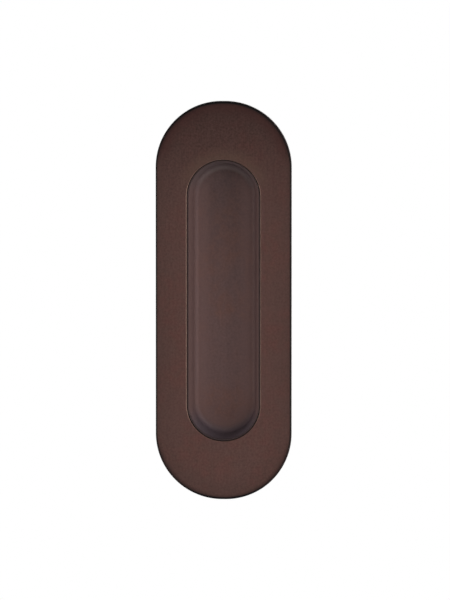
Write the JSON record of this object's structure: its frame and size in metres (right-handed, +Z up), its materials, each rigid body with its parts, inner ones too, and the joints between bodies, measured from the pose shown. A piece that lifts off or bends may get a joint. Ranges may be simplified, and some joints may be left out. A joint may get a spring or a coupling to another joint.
{
  "type": "pocket door pull",
  "caption": "Flush pull for a sliding door: long round-ended face plate with a finger recess, lined by a thin drawn cup that hides the fixing screws.",
  "frame": {"origin": "middle of the back of the face plate, on the face of the door", "axes": "+Z up along the length, +Y from the room into the door, so the front looks along -Y, +X to the right as seen from the front"},
  "size_m": [0.051, 0.0203, 0.15],
  "materials": {
    "dark_bronze_plate": "satin dark bronze over a brass casting, faintly mottled, lighter on the eased edges",
    "dark_bronze_cup": "satin dark bronze over drawn brass sheet, a little greyer than the plate",
    "screw_brass": "darkened brass wood screws"
  },
  "bodies": {
    "root": {"pull_body": "dark_bronze_plate", "finger_cup": "dark_bronze_cup", "upper_wood_screw": "screw_brass", "lower_wood_screw": "screw_brass"}
  },
  "joints": []
}
